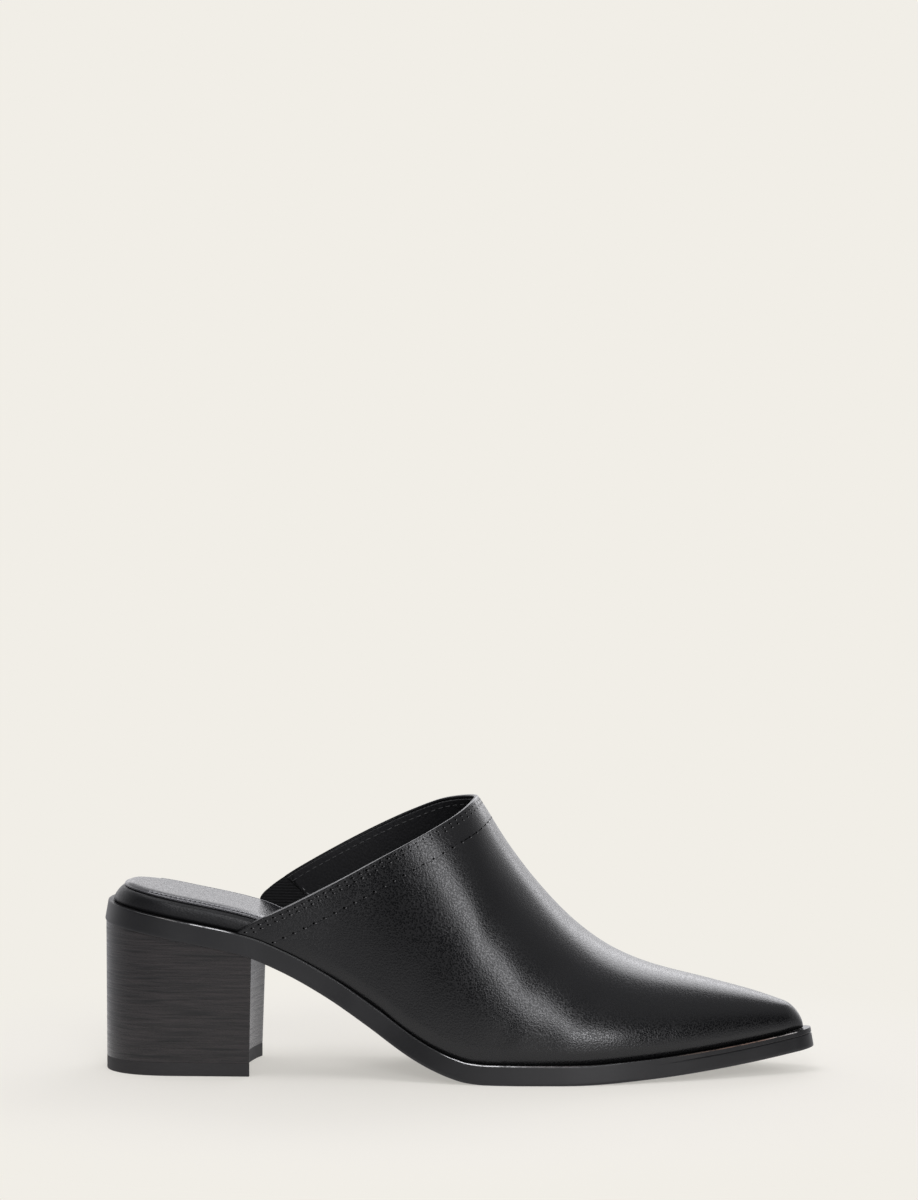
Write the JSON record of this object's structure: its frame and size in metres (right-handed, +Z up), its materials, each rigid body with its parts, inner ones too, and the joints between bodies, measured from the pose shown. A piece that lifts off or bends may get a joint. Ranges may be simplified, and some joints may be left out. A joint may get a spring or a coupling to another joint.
{
  "type": "mule shoe",
  "caption": "Pointed-toe heeled mule in black leather, open at the back, with a stacked block heel and a padded sock.",
  "frame": {"origin": "middle of the shoe's footprint, on the floor", "axes": "+X to the pointed toe, +Y to the inner side of the foot, +Z up"},
  "size_m": [0.264, 0.084, 0.102],
  "materials": {
    "sole_leather": "black dyed sole leather with a burnished edge",
    "heel_stack": "stacked leather, brown-black, with fine level streaks",
    "heel_lift": "matte black rubber",
    "wrap_leather": "smooth black leather",
    "sock_leather": "dark grey grained lining leather",
    "upper_leather": "black polished leather with a fine pebbled grain",
    "gore_elastic": "black woven elastic"
  },
  "bodies": {
    "root": {"outsole": "sole_leather", "heel_block": "heel_stack", "heel_top_piece": "heel_lift", "footbed": "wrap_leather", "sock_pad": "sock_leather", "upper": "upper_leather", "elastic_gore": "gore_elastic"}
  },
  "joints": []
}
